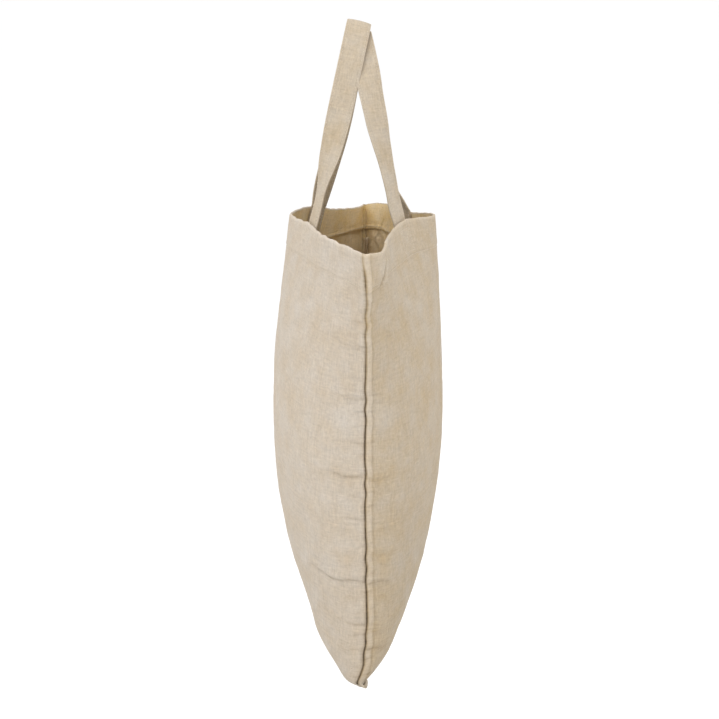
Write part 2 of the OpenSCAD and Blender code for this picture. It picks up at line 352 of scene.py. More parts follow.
class Cloth:
    """The settled cloth of one panel, as a smooth surface of s and q."""

    def __init__(self, side, grid):
        self.side = side
        padded = np.pad(grid, ((1, 1), (1, 1), (0, 0)), mode="edge")
        padded[0], padded[-1] = 2 * padded[1] - padded[2], 2 * padded[-2] - padded[-3]
        padded[:, 0] = 2 * padded[:, 1] - padded[:, 2]
        padded[:, -1] = 2 * padded[:, -2] - padded[:, -3]
        self.grid = padded
        s = np.linspace(-1, 1, 801)
        rim = self.bare(s, np.ones_like(s))[:, 0]
        self.strap_at = {
            end: abs(float(np.interp(end * STRAP_X, rim, s))) * CUT_W / 2 for end in (LEFT, RIGHT)
        }

    def strap_s(self, end, x):
        """The s of a place on the mouth, given how far out it is from the middle of a strap."""
        return end * (self.strap_at[end] + x) / (CUT_W / 2)

    def bare(self, s, q):
        """Catmull-Rom points of the settled grid."""
        x = np.clip((np.asarray(s, float) + 1) / 2 * ACROSS, 0, ACROSS)
        y = np.clip(np.asarray(q, float) * UP, 0, UP)
        i = np.minimum(x.astype(int), ACROSS - 1)
        j = np.minimum(y.astype(int), UP - 1)
        weights = [
            [
                ((2 - t) * t - 1) * t / 2,
                ((3 * t - 5) * t * t + 2) / 2,
                ((4 - 3 * t) * t + 1) * t / 2,
                (t - 1) * t * t / 2,
            ]
            for t in (x - i, y - j)
        ]
        total = 0
        for b in range(4):
            for a in range(4):
                total = total + (weights[1][b] * weights[0][a])[..., None] * self.grid[j + b, i + a]
        return total

    def frame_at(self, s, q, field):
        """Point, direction across, direction up and outward normal of a field of points."""
        ds, dq = 0.004, 0.003
        s, q = np.broadcast_arrays(np.asarray(s, float), np.asarray(q, float))
        s0, s1 = np.clip(s - ds, -1, 1), np.clip(s + ds, -1, 1)
        q0, q1 = np.clip(q - dq, 0, 1), np.clip(q + dq, 0, 1)
        across = unit(field(s1, q) - field(s0, q))
        up = unit(field(s, q1) - field(s, q0))
        out = unit(np.cross(across, up)) * -self.side
        return field(s, q), across, up, out

    def point(self, s, q):
        """The middle of the cloth with its seams, creases and hem pressed in."""
        s, q = np.broadcast_arrays(np.asarray(s, float), np.asarray(q, float))
        p, across, up, out = self.frame_at(s, q, self.bare)
        p = p + out * relief(self, s, q)[..., None]
        at, shift = zip(*SEAM_LINE)
        sideways = np.interp(q, at, shift) / 1000 + 0.0005 * np.sin(q * 83 + 2 * np.sin(q * 37))
        sideways *= bell(1 - np.abs(s), 0, SEAM_SPREAD) * np.where(s > 0, 1.0, LEFT_SHARE)
        p[..., 1] += sideways
        corner = np.hypot((1 - np.abs(s)) * CUT_W / 2, q * CUT_H)
        p[..., 1] += CORNER_BACK[0] * bell(corner, 0, CORNER_BACK[1])
        p[..., 2] += CORNER_UP[0] * bell(corner, 0, CORNER_UP[1])
        size, middle, reach = CORNER_FULL[self.side]
        full = size * bell(corner, middle, reach)
        if self.side == FRONT:
            full *= smooth((1 - np.abs(s)) * CUT_W / 2, 0, 0.003) * smooth(q * CUT_H, 0, 0.002)
        p[..., 1] += full
        x = s * CUT_W / 2
        ripple = 0.7 * np.sin(x / 0.0014 + 2.2 * np.sin(x / 0.0052))
        ripple = ripple + np.sin(x / 0.0031 + 1.7 * np.sin(x / 0.017))
        size = np.where((self.side == FRONT) & (s > 0), NEAR_RIPPLE, RIPPLE)
        return p + up * (size * ripple * smooth((1 - q) * CUT_H, 0.012, 0.0))[..., None]

    def at(self, s, q, inset=0.0):
        """Point, across, up and outward normal of the finished cloth, at a depth inside it."""
        p, across, up, out = self.frame_at(s, q, self.point)
        return p - out * np.asarray(inset)[..., None], across, up, out


# The turned hem's doubled corner on the back panel: its width at its foot, its height, how much
# wider it is at the rim, and how much of it shows at the left seam.
TAB_W, TAB_H, TAB_SPREAD = 0.0225, 0.0335, 0.0270
LEFT_TAB = 0.25


def tab_edge(below_rim):
    """How far the doubled corner reaches from the seam."""
    return TAB_W + TAB_SPREAD * (1 - np.clip(below_rim / TAB_H, 0, 1))


def tab_share(s, below_rim):
    """How much of the doubled corner there is at a height: none below its foot."""
    return np.where(s > 0, 1.0, LEFT_TAB) * (1 - smooth(below_rim, TAB_H - 0.0007, TAB_H + 0.0005))


def wander(s, q, seed, lengths, size):
    """A gentle unevenness, a sum of waves across the cloth."""
    rng = np.random.default_rng(seed)
    x, y = np.asarray(s) * CUT_W / 2, np.asarray(q) * CUT_H
    total = 0
    for length in lengths:
        for _ in range(3):
            way, phase = rng.uniform(0, math.pi), rng.uniform(0, 2 * math.pi)
            total = total + np.sin(
                2 * math.pi * (x * math.cos(way) + y * math.sin(way)) / length + phase
            ) * (length / lengths[0])
    return size * total / 3


# The longer creases that run in from the seams: q, reach, width, depth and slope.
LONG_CREASES = {
    (FRONT, RIGHT): (
        (0.86, 0.020, 0.0022, 0.0007, 0.10), (0.805, 0.030, 0.0020, 0.0008, 0.02),
        (0.700, 0.030, 0.0024, 0.0009, -0.06), (0.600, 0.022, 0.0024, 0.0006, 0.08),
        (0.530, 0.038, 0.0024, 0.0011, 0.03), (0.440, 0.020, 0.0024, 0.0007, -0.05),
        (0.305, 0.055, 0.0028, 0.0015, 0.02), (0.215, 0.024, 0.0026, 0.0009, 0.08),
    ),
    (FRONT, LEFT): ((0.74, 0.034, 0.0026, 0.0012, 0.05), (0.36, 0.040, 0.0028, 0.0013, -0.04)),
    (BACK, RIGHT): (
        (0.90, 0.016, 0.0024, 0.0008, 0.2), (0.52, 0.020, 0.0024, 0.0007, 0.05),
        (0.300, 0.026, 0.0028, 0.0011, 0.03), (0.16, 0.022, 0.0026, 0.0009, -0.04),
    ),
    (BACK, LEFT): ((0.66, 0.036, 0.0026, 0.0012, -0.05), (0.27, 0.034, 0.0028, 0.0012, 0.04)),
}


# The short ones between them: the range of each one's shift in q, reach, width, depth and slope.
SHORT_CREASE = ((-0.012, 0.012), (0.008, 0.020), (0.0016, 0.0030), (0.0002, 0.0007), (-0.25, 0.25))


def creases(side):
    """Every crease of a panel: its end, q, reach, width, depth and slope."""
    rng = np.random.default_rng(40 + side)
    found = []
    for end in (LEFT, RIGHT):
        found += [(end, *crease) for crease in LONG_CREASES[(side, end)]]
        for q in np.arange(0.10, 0.93, 0.031):
            shift, *rest = [rng.uniform(lo, hi) for lo, hi in SHORT_CREASE]
            found.append((end, q + shift, *rest))
    return found


CREASES = {side: creases(side) for side in (FRONT, BACK)}

# The box stitches: how far below the rim their middle is, and half their width.
BOX_DROP, BOX_HALF = 0.016, 0.0098


def box_runs():
    """The sides and the cross of a box stitch, about its middle."""
    a = BOX_HALF
    corners = [(-a, -a), (a, -a), (a, a), (-a, a)]
    sides = [(corners[k], corners[(k + 1) % 4]) for k in range(4)]
    return sides + [(corners[0], corners[2]), (corners[1], corners[3])]


def box_groove(from_strap, below_rim):
    """How the box stitches that hold the straps quilt the mouth."""
    u, w = from_strap, below_rim - BOX_DROP
    found = 0
    for (x0, y0), (x1, y1) in box_runs():
        dx, dy = x1 - x0, y1 - y0
        t = np.clip(((u - x0) * dx + (w - y0) * dy) / (dx * dx + dy * dy), 0, 1)
        away = np.hypot(u - x0 - t * dx, w - y0 - t * dy)
        found = np.minimum(found, -0.0005 * np.exp(-((away / 0.0012) ** 2)))
    inside = np.maximum(np.abs(u), np.abs(w))
    return found + 0.0004 * (1 - smooth(inside, BOX_HALF - 0.003, BOX_HALF + 0.004))


def crease_marks(side, s, q):
    """How far the creases lift the cloth, and how far each point is into one's sharp line."""
    from_seam = (1 - np.abs(s)) * CUT_W / 2
    lift, line = 0, 0
    for end, at_q, reach, width, depth, slope in CREASES[side]:
        waver = 0.0012 * np.sin(from_seam / 0.006 + 40 * at_q)
        across_it = (q - at_q) * CUT_H - slope * from_seam - waver
        along_it = np.exp(-((from_seam / reach) ** 4)) * smooth(from_seam, 0.0, 0.003)
        here = (np.sign(s) == end) * along_it * depth
        ridge = bell(across_it, 0.6 * width, 0.8 * width)
        dip = bell(across_it, -0.5 * width, 0.6 * width)
        lift = lift + here * (1.1 * ridge - 1.3 * dip)
        line = line + here * bell(across_it, -0.5 * width, 0.0010)
    return lift, line


def hem_rise(s):
    """How much less deep the hem is towards the left seam."""
    return 0.0085 * smooth(-np.asarray(s, float), 0.45, 1.0)


def seam_relief(side, s, from_seam, below_rim):
    """The panels roll into their seams; the allowance and the doubled corner show on the back."""
    roll = -0.0024 * np.exp(-((from_seam / 0.0010) ** 2))
    if side == FRONT:
        return roll + 0.0006 * bell(from_seam, 0.0026, 0.0018)
    over_allowance = smooth(from_seam, 0.001, 0.003) * (1 - smooth(from_seam, 0.0056, 0.0070))
    roll = roll + 0.0006 * (bell(from_seam, 0.0024, 0.0014) + over_allowance)
    roll = roll - 0.0005 * bell(from_seam, 0.0076, 0.0012)
    past_tab = from_seam - tab_edge(below_rim)
    tab = tab_share(s, below_rim)
    fold = tab * smooth(below_rim, 0.006, 0.018)
    ridge = 0.0024 * bell(past_tab, 0.0055, 0.0042) - 0.0030 * bell(past_tab, 0.0010, 0.0014)
    return roll + 0.0008 * tab * (1 - smooth(past_tab, -0.0008, 0.0004)) + fold * ridge


def corner_relief(side, s, q, from_seam, above_bottom):
    """The blunt bottom corners, and the fullness of the front panel above them."""
    corner = np.hypot(from_seam, above_bottom)
    blunt = (1 - np.exp(-from_seam / 0.0012)) * (1 - np.exp(-above_bottom / 0.0012))
    lift = CORNER_LIFT[side] * blunt * bell(corner, 0, 0.016)
    if side == FRONT:
        full = 0.0042 * bell(np.abs(s), 0.70, 0.14) * bell(q, 0.125, 0.055)
        lift = lift + full * smooth(from_seam, 0, 0.018) * smooth(above_bottom, 0, 0.012)
    return lift


def hem_relief(cloth, s, x, below_rim):
    """The turned hem is thicker, its line of stitches draws the cloth in, and so do the boxes."""
    strap_at = np.where(s < 0, cloth.strap_at[LEFT], cloth.strap_at[RIGHT])
    at_line = below_rim + hem_rise(s)
    hem = 0.0004 * (1 - smooth(at_line, HEM_LINE - 0.001, HEM_LINE + 0.004))
    line = -0.0006 * bell(at_line, HEM_LINE, 0.0011)
    draw = np.sin(x / 0.0017 + 1.3 * np.sin(x / 0.011)) * bell(at_line, HEM_LINE, 0.006)
    return hem + line + 0.00018 * draw + box_groove(np.abs(x) - strap_at, below_rim)


def relief(cloth, s, q):
    """How far the cloth stands out from its settled face."""
    side = cloth.side
    s, q = np.broadcast_arrays(np.asarray(s, float), np.asarray(q, float))
    from_seam, x = (1 - np.abs(s)) * CUT_W / 2, s * CUT_W / 2
    below_rim, above_bottom = (1 - q) * CUT_H, q * CUT_H
    seam = seam_relief(side, s, from_seam, below_rim)
    scallop = np.sin(above_bottom / 0.00078 + 2 * np.sin(above_bottom / 0.0061))
    seam = seam + 0.00022 * scallop * bell(from_seam, 0.0020, 0.0020)
    foot = 0.0005 * bell(above_bottom, 0.0036, 0.002)
    foot = foot - 0.0007 * np.exp(-((above_bottom / 0.0014) ** 2))
    puckers, _ = crease_marks(side, s, q)
    soft = wander(s, q, 7 + side, (0.150, 0.062, 0.031), 0.0008)
    fine = wander(s, q, 90 + side, (0.022, 0.013), 0.00012)
    edge = smooth(from_seam, 0.0, 0.02) * smooth(above_bottom, 0.0, 0.02)
    corner = corner_relief(side, s, q, from_seam, above_bottom)
    hem = hem_relief(cloth, s, x, below_rim)
    return seam + corner + foot + hem + puckers + (soft + fine) * edge


# ---------------------------------------------------------------- meshes


def new_piece(name, points, faces, body, replaced, material, coords=None):
    """A smooth piece with its cloth coordinates as a UV map, riding on a body."""
    mesh = bpy.data.meshes.new(name)
    points = np.asarray(points, float).reshape(-1, 3)
    faces = np.asarray(faces, int)
    mesh.vertices.add(len(points))
    mesh.vertices.foreach_set("co", points.ravel())
    mesh.loops.add(faces.size)
    mesh.loops.foreach_set("vertex_index", faces.ravel())
    mesh.polygons.add(len(faces))
    mesh.polygons.foreach_set("loop_start", np.arange(len(faces)) * faces.shape[1])
    mesh.update(calc_edges=True)
    mesh.validate()
    mesh.polygons.foreach_set("use_smooth", np.ones(len(mesh.polygons), bool))
    if coords is not None:
        uv = mesh.uv_layers.new(name="cloth")
        index = np.empty(len(mesh.loops), int)
        mesh.loops.foreach_get("vertex_index", index)
        uv.data.foreach_set("uv", np.asarray(coords, float).reshape(-1, 2)[index].ravel())
    piece = bpy.data.objects.new(name, mesh)
    bpy.context.scene.collection.objects.link(piece)
    mesh.materials.append(material)
    if body:
        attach(piece, body)
    if replaced:
        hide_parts(*replaced)
    return piece


def ring_faces(rows, ring):
    """Quads between rows of rings of points."""
    n = np.arange(rows * ring).reshape(rows, ring)
    return quads_of(np.concatenate([n, n[:, :1]], 1))


def sheet_solid(centre, out, thick):
    """Points and quads of a sheet: two faces either side of a grid, joined round its edge."""
    rows, cols = centre.shape[:2]
    half = out * thick / 2
    points = np.concatenate([(centre + half).reshape(-1, 3), (centre - half).reshape(-1, 3)])
    n = np.arange(rows * cols).reshape(rows, cols)
    face = quads_of(n)
    inner = face[:, ::-1] + rows * cols
    border = np.concatenate([n[0, :], n[1:, -1], n[-1, -2::-1], n[-2:0:-1, 0]])
    after = np.roll(border, -1)
    rim = np.stack([border, border + rows * cols, after + rows * cols, after], -1)
    faces = np.concatenate([face, inner, rim])
    j, i = rows // 2, cols // 2
    turn = np.cross(centre[j, i + 1] - centre[j, i], centre[j + 1, i] - centre[j, i])
    return points, faces if turn @ out[j, i] > 0 else faces[:, ::-1]


def spaced(lo, hi, steps, ends):
    """Values from lo to hi that crowd towards both ends."""
    t = np.linspace(-1, 1, steps)
    t = np.sign(t) * (1 - (1 - np.abs(t)) ** ends)
    return lo + (hi - lo) * (t + 1) / 2


def paint(piece, name, values):
    """Gives each point of a piece a number that its material reads."""
    layer = piece.data.attributes.new(name, "FLOAT", "POINT")
    layer.data.foreach_set("value", np.asarray(values, np.float32).ravel())


def panel_wear_and_shade(side, s, q, run):
    """Painted light and shade, with some wear: lighter where the cloth is folded and rubbed, with a
    painted highlight there, painted shade in the seams and creases, and darker low down as painted
    shade.
    """
    from_seam, above_bottom = (1 - np.abs(s)) * CUT_W / 2, q * CUT_H
    at_line = (1 - q) * CUT_H + hem_rise(s) - HEM_LINE
    # Partly wear and partly a painted highlight along the folded rim; painted shade along the hem's
    # line of stitches.
    wear_and_shade_marks = 0.13 * bell(run, 0, 0.0013) - 0.035 * bell(at_line, 0, 0.0012)
    # Painted shade in the slot of each side seam.
    slot = 0.70 + 0.26 * smooth(q, 0.55, 0.75)
    wear_and_shade_marks = wear_and_shade_marks - slot * np.exp(-((from_seam / 0.0012) ** 2)) * (1 - 0.6 * smooth(q, 0.955, 0.99))
    # Painted shade along each crease's sharp line.
    wear_and_shade_marks = wear_and_shade_marks - 80 * crease_marks(side, s, q)[1]
    # Painted shade in the bottom seam.
    wear_and_shade_marks = wear_and_shade_marks - 0.40 * np.exp(-((above_bottom / 0.0010) ** 2))
    if side == BACK:
        # On the back: a painted highlight over the allowance, painted shade in the groove beside
        # it, painted shadow under the doubled corner's fold, painted highlights on the corner and
        # on the ridge past it, and painted shade at its foot.
        over_allowance = smooth(from_seam, 0.0014, 0.0026) * (1 - smooth(from_seam, 0.0052, 0.0068))
        wear_and_shade_marks = wear_and_shade_marks + 0.15 * over_allowance
        wear_and_shade_marks = wear_and_shade_marks - 0.04 * bell(from_seam, 0.0078, 0.0012)
        below_rim = (1 - q) * CUT_H
        past_tab = from_seam - tab_edge(below_rim)
        tab = tab_share(s, below_rim)
        fold = tab * smooth(below_rim, 0.008, 0.020)
        wear_and_shade_marks = wear_and_shade_marks - 0.75 * fold * bell(past_tab, 0.0006, 0.0012) + 0.05 * tab * (past_tab < 0)
        wear_and_shade_marks = wear_and_shade_marks + 0.06 * fold * bell(past_tab, 0.0055, 0.0040)
        wear_and_shade_marks = wear_and_shade_marks - 0.10 * bell(below_rim, TAB_H, 0.0007) * (1 - smooth(past_tab, -0.001, 0.0005))
        # Painted shade: darker towards the bottom.
        wear_and_shade_marks = wear_and_shade_marks - 0.14 * smooth(1 - q, 0.25, 0.95)
    else:
        # Painted shade beside the front seam and a painted highlight on the roll past it.
        wear_and_shade_marks = wear_and_shade_marks - 0.05 * bell(from_seam, 0.0024, 0.0014)
        wear_and_shade_marks = wear_and_shade_marks + 0.03 * bell(from_seam, 0.0048, 0.0020)
        # Painted shade: darker towards the bottom.
        wear_and_shade_marks = wear_and_shade_marks - 0.10 * smooth(1 - q, 0.35, 0.95)
    return wear_and_shade_marks


def make_panel(side, cloth, material, lining):
    """A panel with its mouth turned over: up to the rim, round the fold and down the hem."""
    across = SEAM_GAP * spaced(-1, 1, 190, 1.7)
    beside = 1 - np.arange(0.0055, 0.0560, 0.0009) / (CUT_W / 2)
    far = np.abs(across)
    across = np.concatenate([across[(far < beside[-1]) | (far > beside[0])], beside, -beside])
    across = np.sort(across)
    body_q = ((0, 0.03, 9), (0.03, HEM_Q - 0.01, 209), (HEM_Q - 0.01, 1, 43))
    body_q = [np.linspace(lo, hi, steps, endpoint=False) for lo, hi, steps in body_q]
    body_q = np.concatenate([*body_q, [1.0]])
    fold = np.linspace(0, math.pi, 9)[1:-1]
    hem_q = np.linspace(1, HEM_Q, 30)
    q = np.concatenate([body_q, np.ones(len(fold)), hem_q])
    inset = np.concatenate([0 * body_q, FOLD_R * (1 - np.cos(fold)), 0 * hem_q + 2 * FOLD_R])
    lift = np.concatenate([0 * body_q, FOLD_R * np.sin(fold), 0 * hem_q])
    run = np.concatenate([(1 - body_q) * CUT_H, -FOLD_R * fold, -(1 - hem_q) * CUT_H - 3 * FOLD_R])
    s_grid, q_grid = np.meshgrid(across, q)
    turned_in = np.arange(len(q)) >= len(body_q) + len(fold)
    shallower = 1 - hem_rise(s_grid) / HEM_DEPTH
    q_grid = np.where(turned_in[:, None], 1 - (1 - q_grid) * shallower, q_grid)
    points, _, up, out = cloth.at(s_grid, q_grid, inset[:, None])
    points += up * lift[:, None, None]
    turned = np.concatenate([0 * body_q, fold, 0 * hem_q + math.pi])[:, None, None]
    normal = out * np.cos(turned) + up * np.sin(turned)
    solid, faces = sheet_solid(points, normal, CLOTH_T)
    u = s_grid * CUT_W / 2
    coords = np.stack([u, run[:, None] + 0 * u], -1).reshape(-1, 2)
    wear_and_shade_marks = panel_wear_and_shade(side, s_grid, q_grid, run[:, None] + 0 * u)
    name = SIDE_NAMES[side]
    piece = new_piece(
        name + "_panel_cloth",
        solid,
        faces,
        "bag",
        (name + "_panel", name + "_hem"),
        material,
        np.concatenate([coords, coords]),
    )
    # The turned-in hem and the inner faces carry a weaker copy of the painted light and shade.
    hidden = 0.4 * np.maximum(wear_and_shade_marks, -0.25)
    paint(piece, "wear_and_shade", np.concatenate([np.where(turned_in[:, None], hidden, wear_and_shade_marks), hidden]))
    # The hem's face and the inside of the body have a brighter, warmer copy of the calico: painted
    # bounced light inside the bag.
    piece.data.materials.append(lining)
    bounce_tinted = np.zeros(len(faces), int)
    count = (len(q) - 1) * (len(across) - 1)
    row_of = np.arange(count) // (len(across) - 1)
    bounce_tinted[:count] = turned_in[row_of]
    bounce_tinted[count : 2 * count] = (row_of < len(body_q)) & (q[row_of] > BOUNCE_TINT_FROM)
    piece.data.polygons.foreach_set("material_index", bounce_tinted)


# ---------------------------------------------------------------- straps

# How far each leg has turned from the bag's width, in degrees, at heights above its foot.
TWISTS = {
    (FRONT, RIGHT): ((0.012, 18), (0.030, 17), (0.042, 26), (0.061, 49), (0.088, 70), (0.118, 90)),
    (FRONT, LEFT): ((0.012, 46), (0.025, 54), (0.050, 60), (0.085, 70), (0.118, 90)),
    (BACK, RIGHT): (
        (0.012, 31), (0.027, 27), (0.055, 33), (0.078, 47), (0.092, 60), (0.113, 66), (0.150, 90)
    ),
    (BACK, LEFT): ((0.012, 24), (0.030, 15), (0.055, 17), (0.085, 32), (0.113, 54), (0.150, 90)),
}
# How far each leg bows outwards, and how early on its way up.
BOWS = {(FRONT, RIGHT): 0.0008, (FRONT, LEFT): 0.0034, (BACK, RIGHT): 0.0006, (BACK, LEFT): 0.0085}
BOW_POWERS = {(FRONT, RIGHT): 0.8, (FRONT, LEFT): 0.8, (BACK, RIGHT): 0.8, (BACK, LEFT): 0.5}
CLEAR_OF_RIM = 0.003
STRAP_STEPS = 236
FADE = 0.014
# Places across a strap, closer together at its edges and its stitches.
HALF_W = STRAP_W / 2
SECTION = np.array([0, 0.25, 0.5, 0.66, 0.74, 0.78, 0.82, 0.86, 0.90, 0.95, 0.98, 1.0])
SECTION = np.concatenate([-SECTION[:0:-1], SECTION]) * HALF_W


def strap_half_t(u):
    """Half the strap's thickness: rounded edges, and a groove under each row of stitches."""
    u = np.abs(u)
    edge = np.clip((u - (HALF_W - 0.0009)) / 0.0009, 0, 1)
    groove = 0.00022 * bell(u, HALF_W - STRAP_EDGE, 0.0006)
    swell = 0.00008 * bell(u, 0.0075, 0.0016)
    return STRAP_T / 2 * (0.30 + 0.70 * np.sqrt(1 - edge**2)) - groove + swell


def strap_rows(side, cloth):
    """Rows of points across a strap, their outward normals and how far along each row is."""
    sewn, feet, slopes, tops = {}, {}, {}, {}
    for end in (LEFT, RIGHT):
        s = cloth.strap_s(end, SECTION)
        q = np.linspace(HEM_Q + 0.003, 1, 20)
        s_grid, q_grid = np.meshgrid(s, q)
        p, across, up, out = cloth.at(s_grid, q_grid, END_INSET)
        above = np.linspace(0, CLEAR_OF_RIM, 4)[1:, None, None]
        sewn[end] = (
            np.concatenate([p, p[-1] + up[-1] * above]),
            np.concatenate([out, np.repeat(out[-1:], 3, 0)]),
        )
        middle = len(SECTION) // 2
        feet[end] = sewn[end][0][-1, middle]
        slopes[end] = math.atan2(abs(across[-1, middle, 1]), abs(across[-1, middle, 0]))
        tops[end] = sewn[end][0][-1] - feet[end]
    apex_z = RIM_Z + RISE[side]
    turn = np.linspace(0, math.pi, 1441)
    to_right = (1 - np.cos(turn)) / 2
    foot = feet[LEFT] * (1 - to_right[:, None]) + feet[RIGHT] * to_right[:, None]
    reach = np.abs(feet[LEFT][0]) * (1 - to_right) + np.abs(feet[RIGHT][0]) * to_right
    share = np.sin(turn)
    bows = BOWS[(side, LEFT)] * (1 - to_right) + BOWS[(side, RIGHT)] * to_right
    early = BOW_POWERS[(side, LEFT)] * (1 - to_right) + BOW_POWERS[(side, RIGHT)] * to_right
    bow = bows * np.sin(math.pi * share**early) ** 2
    centre = np.stack(
        [
            -reach * np.cos(turn),
            foot[:, 1] + (APEX_Y - foot[:, 1]) * share - side * bow,
            foot[:, 2] + (apex_z - foot[:, 2]) * share,
        ],
        -1,
    )
    length = length_along(centre)
    steps = np.linspace(0, length[-1], STRAP_STEPS)
    centre = points_at(steps, length, centre)
    along = unit(np.gradient(centre, axis=0))
    end = np.where(centre[:, 0] < 0, LEFT, RIGHT)
    height = centre[:, 2] - np.where(end == LEFT, feet[LEFT][2], feet[RIGHT][2])
    lean = math.atan2(abs(feet[RIGHT][1] - APEX_Y), apex_z - feet[RIGHT][2])
    inward = np.array([0, -side * math.cos(lean), -math.sin(lean)])
    outward = unit(np.cross(along, inward)) * -side
    twist = np.empty(len(steps))
    for which in (LEFT, RIGHT):
        marks = [(0.0, math.degrees(slopes[which])), *TWISTS[(side, which)]]
        here = end == which
        twist[here] = np.interp(height[here], [m[0] for m in marks], [m[1] for m in marks])
    kernel = np.hanning(13)
    twist = np.convolve(np.pad(twist, 6, mode="edge"), kernel / kernel.sum(), mode="valid")
    twist = np.radians(twist)[:, None]
    width = np.cos(twist) * outward + np.sin(twist) * inward
    face = unit(np.cross(along, width)) * -side
    rng = np.random.default_rng(11 + side)
    wave = np.convolve(rng.normal(0, 1, len(steps) + 30), np.hanning(31) / 5, mode="valid")
    cup = 0.0005 * wave[:, None] * (SECTION / HALF_W) ** 2
    rows = centre[:, None] + width[:, None] * SECTION[:, None] + face[:, None] * cup[..., None]
    normals = np.repeat(face[:, None], len(SECTION), 1)
    # Near its feet a leg takes on the shape of its sewn end.
    to_left, to_right = 1 - smooth(steps, 0, FADE), smooth(steps, steps[-1] - FADE, steps[-1])
    for which, row, fade in ((LEFT, 0, to_left), (RIGHT, -1, to_right)):
        rows += fade[:, None, None] * (tops[which] - width[row] * SECTION[:, None])
        normals += fade[:, None, None] * (sewn[which][1][-1] - face[row])
    rows = np.concatenate([sewn[LEFT][0][:-1], rows, sewn[RIGHT][0][-2::-1]])
    normals = unit(np.concatenate([sewn[LEFT][1][:-1], normals, sewn[RIGHT][1][-2::-1]]))
    middle = rows[:, len(SECTION) // 2]
    run = length_along(middle)
    return rows, normals, run


def make_strap(side, rows, normals, run, material):
    """A strap in one piece, sewn inside the mouth at both ends."""
    half = strap_half_t(SECTION)[None, :, None] * np.ones((len(run), 1, 1))
    half[0] *= 0.35
    half[-1] *= 0.35
    top, bottom = rows + normals * half, (rows - normals * half)[:, ::-1]
    points = np.concatenate([top, bottom], 1)
    ring, m = 2 * len(SECTION), len(SECTION)
    faces = ring_faces(len(run), ring)
    cap = np.array([[i, i + 1, ring - 2 - i, ring - 1 - i] for i in range(m - 1)])
    faces = np.concatenate([faces, cap[:, ::-1], cap + (len(run) - 1) * ring])
    if side == FRONT:
        faces = faces[:, ::-1]
    u = np.concatenate([SECTION, SECTION[::-1] + 0.05])
    coords = np.stack([u + 0 * run[:, None], run[:, None] + 0 * u], -1)
    name = SIDE_NAMES[side]
    nodes = [name + "_handle"] + [name + "_%s_strap_end" % END_NAMES[e] for e in (LEFT, RIGHT)]
    piece = new_piece(name + "_strap", points, faces, None, nodes, material, coords)
    from_edge = HALF_W - np.abs(SECTION)
    # Partly wear and partly a painted highlight along the strap's edges, painted shade in the
    # grooves of its stitches, and painted shade over its whole underside.
    edge = 0.08 * bell(from_edge, 0, 0.0007) - 0.09 * bell(from_edge, STRAP_EDGE, 0.0006)
    paint(piece, "wear_and_shade", np.concatenate([edge, edge[::-1] - 0.17]) + 0 * run[:, None])
    cross_rim(piece)


def cross_rim(piece):
    """Bakes where a piece of a strap stands into its mesh."""
    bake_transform(piece)


# ---------------------------------------------------------------- stitches

# A stitch's length and the next one's distance, and its thread: places along it, their share of
# its thickness, and how far each is out of the cloth, in thread radii.
STITCH, PITCH = 0.0026, 0.0031
THREAD_ROWS = np.array([0.0, 0.10, 0.34, 0.66, 0.90, 1.0])
THREAD_WIDE = np.array([0.45, 0.85, 1.0, 1.0, 0.85, 0.45])
THREAD_LIFT = np.array([-1.1, -0.1, 0.45, 0.45, -0.1, -1.1])
THREAD_RING = 6


def threads(starts, ends, normals):
    """Short lengths of thread that dip into the cloth at both ends."""
    starts, ends, normals = (np.asarray(a, float).reshape(-1, 3) for a in (starts, ends, normals))
    along = unit(ends - starts)
    side = unit(np.cross(normals, along))
    up = np.cross(along, side)
    t = THREAD_ROWS[None, :, None]
    spine = starts[:, None] * (1 - t) + ends[:, None] * t
    spine = spine + up[:, None] * THREAD_LIFT[None, :, None] * THREAD_R
    turn = np.linspace(0, 2 * math.pi, THREAD_RING, endpoint=False)
    ring = np.cos(turn)[:, None] * side[:, None] + np.sin(turn)[:, None] * up[:, None]
    points = spine[:, :, None] + ring[:, None] * (THREAD_WIDE * THREAD_R)[None, :, None, None]
    one = ring_faces(len(THREAD_ROWS), THREAD_RING)
    last = (len(THREAD_ROWS) - 1) * THREAD_RING
    caps = np.array([[0, 3, 2, 1], [0, 5, 4, 3]])
    one = np.concatenate([one, caps, caps[:, ::-1] + last])
    count = len(THREAD_ROWS) * THREAD_RING
    faces = one[None] + (np.arange(len(starts)) * count)[:, None, None]
    return points.reshape(-1, 3), faces.reshape(-1, 4)


def walk(points, normals):
    """Starts, ends and normals of the stitches of a row that follows a line of points."""
    length = length_along(points)
    first = np.arange(0.0004, length[-1] - STITCH, PITCH)
    return (
        points_at(first, length, points),
        points_at(first + STITCH, length, points),
        unit(points_at(first + STITCH / 2, length, normals)),
    )


def make_stitches(name, rows, body, replaced, material):
    """One piece of every stitch of several rows."""
    stitches = (np.concatenate(parts) for parts in zip(*[walk(*row) for row in rows]))
    points, faces = threads(*stitches)
    return new_piece(name, points, faces, body, replaced, material)


def strap_stitches(side, rows, normals, material):
    """Both edges of a strap, on both of its faces."""
    lines = []
    for edge in (-1, 1):
        u = edge * (HALF_W - STRAP_EDGE)
        k = np.searchsorted(SECTION, u)
        t = (u - SECTION[k - 1]) / (SECTION[k] - SECTION[k - 1])
        middle = rows[:, k - 1] * (1 - t) + rows[:, k] * t
        out = normals[:, k]
        for face in (-1, 1):
            lines.append((middle + out * face * (strap_half_t(u) + 0.0001), out * face))
    name = SIDE_NAMES[side] + "_handle_stitching"
    piece = make_stitches(SIDE_NAMES[side] + "_strap_stitches", lines, None, [name], material)
    cross_rim(piece)


